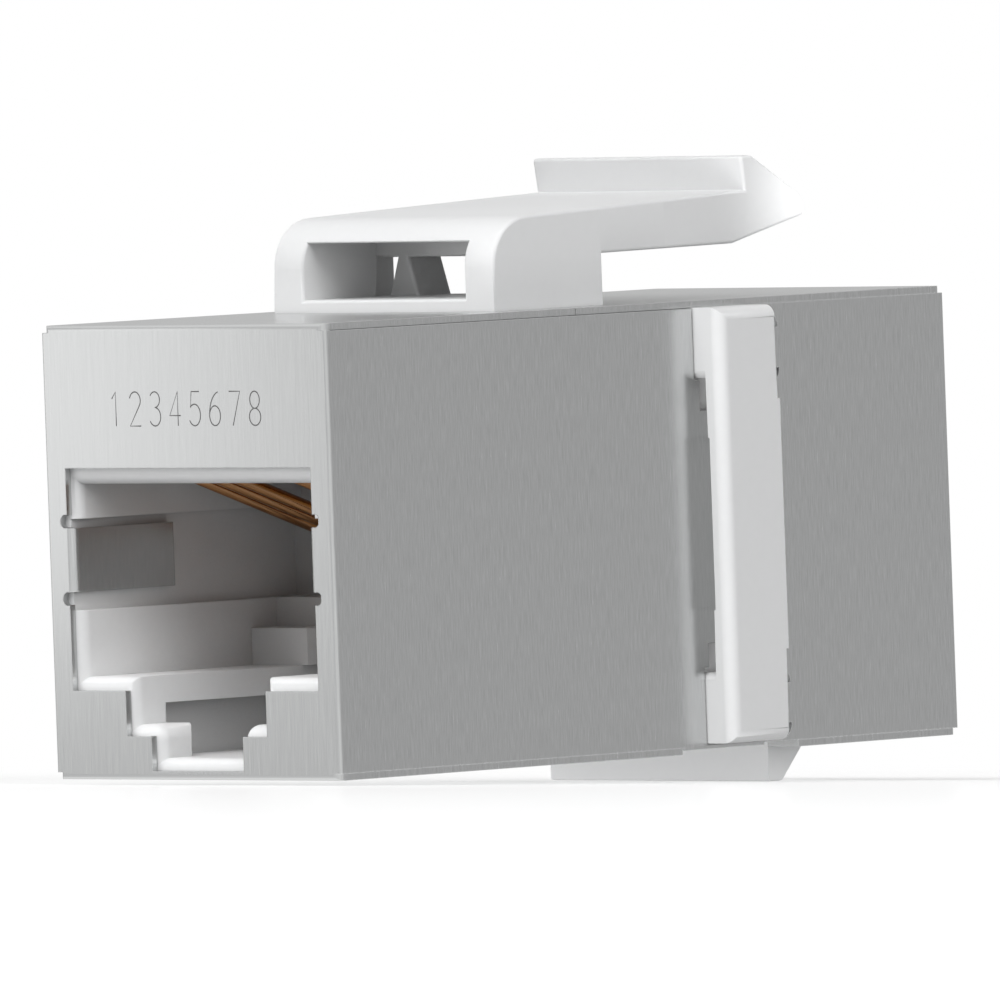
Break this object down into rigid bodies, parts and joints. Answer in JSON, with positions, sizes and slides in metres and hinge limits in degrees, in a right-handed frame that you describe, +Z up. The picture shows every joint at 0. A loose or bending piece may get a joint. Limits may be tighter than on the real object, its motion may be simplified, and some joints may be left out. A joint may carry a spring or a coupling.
{
  "type": "keystone coupler",
  "caption": "Shielded keystone coupler with a plug socket at each end, brushed metal cans, a white frame with side ribs and hook, and a springy latch lever.",
  "frame": {"origin": "centre of the body's section in the panel seat plane, where the side ribs meet the panel", "axes": "+Y from the front socket to the rear socket, +Z up towards the latch, +X to the right seen from the front"},
  "size_m": [0.0172, 0.0305, 0.0223],
  "materials": {
    "shield_metal": "brushed",
    "white_plastic": "satin",
    "socket_plastic": "satin",
    "contact_metal": "satin",
    "board": "gloss"
  },
  "bodies": {
    "housing": {"front_shield": "shield_metal", "rear_shield": "shield_metal", "keystone_frame": "white_plastic", "front_jack": "socket_plastic", "rear_jack": "socket_plastic", "front_contact_carrier": "socket_plastic", "rear_contact_carrier": "socket_plastic", "circuit_board": "board", "front_contact_1": "contact_metal", "front_contact_2": "contact_metal", "front_contact_3": "contact_metal", "front_contact_4": "contact_metal", "front_contact_5": "contact_metal", "front_contact_6": "contact_metal", "front_contact_7": "contact_metal", "front_contact_8": "contact_metal", "rear_contact_1": "contact_metal", "rear_contact_2": "contact_metal", "rear_contact_3": "contact_metal", "rear_contact_4": "contact_metal", "rear_contact_5": "contact_metal", "rear_contact_6": "contact_metal", "rear_contact_7": "contact_metal", "rear_contact_8": "contact_metal"},
    "latch": {"latch_lever": "white_plastic"}
  },
  "joints": [
    {"name": "latch_press", "type": "hinge", "parent": "housing", "child": "latch", "pos_m": [0, -0.00572, 0.00982], "axis": [-1, 0, 0], "range_deg": [0, 10], "stiffness_Nm_per_rad": 0.4}
  ]
}
